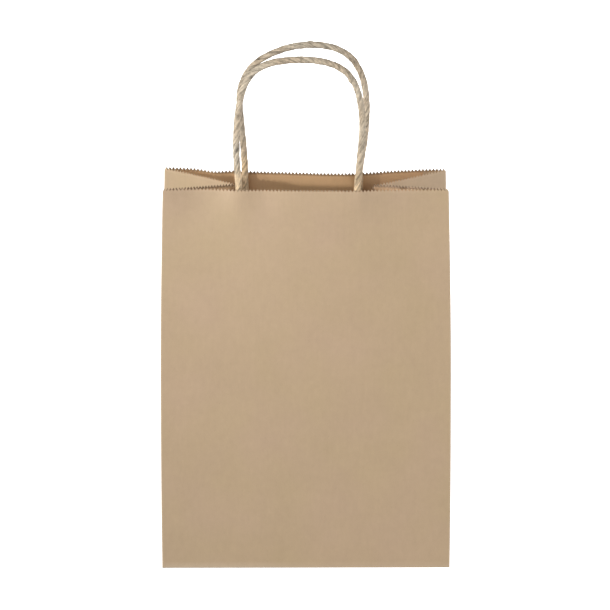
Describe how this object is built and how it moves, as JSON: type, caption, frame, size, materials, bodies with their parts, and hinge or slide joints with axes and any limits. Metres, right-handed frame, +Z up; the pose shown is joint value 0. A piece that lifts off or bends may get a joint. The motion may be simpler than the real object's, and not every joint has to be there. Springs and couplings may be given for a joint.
{
  "type": "gift bag",
  "caption": "Upright kraft-paper gift bag with a block bottom, side gussets, a serrated open mouth and a pair of twisted-paper loop handles.",
  "frame": {"origin": "middle of the bottom, on the surface the bag stands on", "axes": "+Z up, -Y towards the front panel, +X to the front panel's right"},
  "size_m": [0.2032, 0.1208, 0.3612],
  "materials": {
    "kraft_paper": "matte",
    "patch_paper": "matte",
    "twisted_paper": "matte",
    "glue": "satin"
  },
  "bodies": {
    "base": {"bottom_back_flap": "kraft_paper", "bottom_front_flap": "kraft_paper", "bottom_flap_paste": "glue", "bottom_left_tuck": "kraft_paper", "bottom_right_tuck": "kraft_paper"},
    "front_wall": {"front_panel": "kraft_paper", "front_patch_glue": "glue", "front_patch_backing": "patch_paper", "front_patch_cover": "patch_paper", "front_rope_end_left": "twisted_paper", "front_rope_end_right": "twisted_paper"},
    "back_wall": {"back_panel": "kraft_paper", "back_patch_glue": "glue", "back_patch_backing": "patch_paper", "back_patch_cover": "patch_paper", "back_rope_end_left": "twisted_paper", "back_rope_end_right": "twisted_paper", "side_seam_glue": "glue", "side_seam_lap": "kraft_paper"},
    "left_web": {"left_gusset_web": "kraft_paper"},
    "right_web": {"right_gusset_web": "kraft_paper"},
    "left_front_fold": {"left_front_gore": "kraft_paper"},
    "left_back_fold": {"left_back_gore": "kraft_paper"},
    "right_front_fold": {"right_front_gore": "kraft_paper"},
    "right_back_fold": {"right_back_gore": "kraft_paper"},
    "front_loop": {"front_handle": "twisted_paper"},
    "back_loop": {"back_handle": "twisted_paper"}
  },
  "joints": [
    {"name": "mouth", "type": "hinge", "parent": "base", "child": "front_wall", "pos_m": [0, -0.06032, 0], "axis": [-1, 0, 0], "range_deg": [-2.6, 2.2]},
    {"name": "back_wall_tilt", "type": "hinge", "parent": "base", "child": "back_wall", "pos_m": [0, 0.06032, 0], "axis": [1, 0, 0], "range_deg": [-2.6, 2.2]},
    {"name": "left_web_tilt", "type": "hinge", "parent": "base", "child": "left_web", "pos_m": [-0.1016, 0, 0], "axis": [0, 1, 0], "range_deg": [-1.56, 1.32]},
    {"name": "right_web_tilt", "type": "hinge", "parent": "base", "child": "right_web", "pos_m": [0.1016, 0, 0], "axis": [0, -1, 0], "range_deg": [-1.56, 1.32]},
    {"name": "left_front_crease", "type": "hinge", "parent": "front_wall", "child": "left_front_fold", "pos_m": [-0.1016, -0.06032, 0], "axis": [0, -0.1108, -0.9938], "range_deg": [-13.39, 11.33]},
    {"name": "right_front_crease", "type": "hinge", "parent": "front_wall", "child": "right_front_fold", "pos_m": [0.1016, -0.06032, 0], "axis": [0, 0.1108, 0.9938], "range_deg": [-13.39, 11.33]},
    {"name": "left_back_crease", "type": "hinge", "parent": "back_wall", "child": "left_back_fold", "pos_m": [-0.1016, 0.06032, 0], "axis": [0, -0.1108, 0.9938], "range_deg": [-13.39, 11.33]},
    {"name": "right_back_crease", "type": "hinge", "parent": "back_wall", "child": "right_back_fold", "pos_m": [0.1016, 0.06032, 0], "axis": [0, 0.1108, -0.9938], "range_deg": [-13.39, 11.33]},
    {"name": "front_handle_swing", "type": "hinge", "parent": "front_wall", "child": "front_loop", "pos_m": [0, -0.03121, 0.26833], "axis": [1, 0, 0], "range_deg": [0, 95], "stiffness_Nm_per_rad": 0.02},
    {"name": "back_handle_swing", "type": "hinge", "parent": "back_wall", "child": "back_loop", "pos_m": [0, 0.01935, 0.267], "axis": [-1, 0, 0], "range_deg": [0, 95], "stiffness_Nm_per_rad": 0.02}
  ],
  "couplings": [
    {"joint": "back_wall_tilt", "follows": "mouth", "ratio": 1},
    {"joint": "left_web_tilt", "follows": "mouth", "ratio": 0.6},
    {"joint": "right_web_tilt", "follows": "mouth", "ratio": 0.6},
    {"joint": "left_front_crease", "follows": "mouth", "ratio": 5.15},
    {"joint": "right_front_crease", "follows": "mouth", "ratio": 5.15},
    {"joint": "left_back_crease", "follows": "mouth", "ratio": 5.15},
    {"joint": "right_back_crease", "follows": "mouth", "ratio": 5.15}
  ]
}
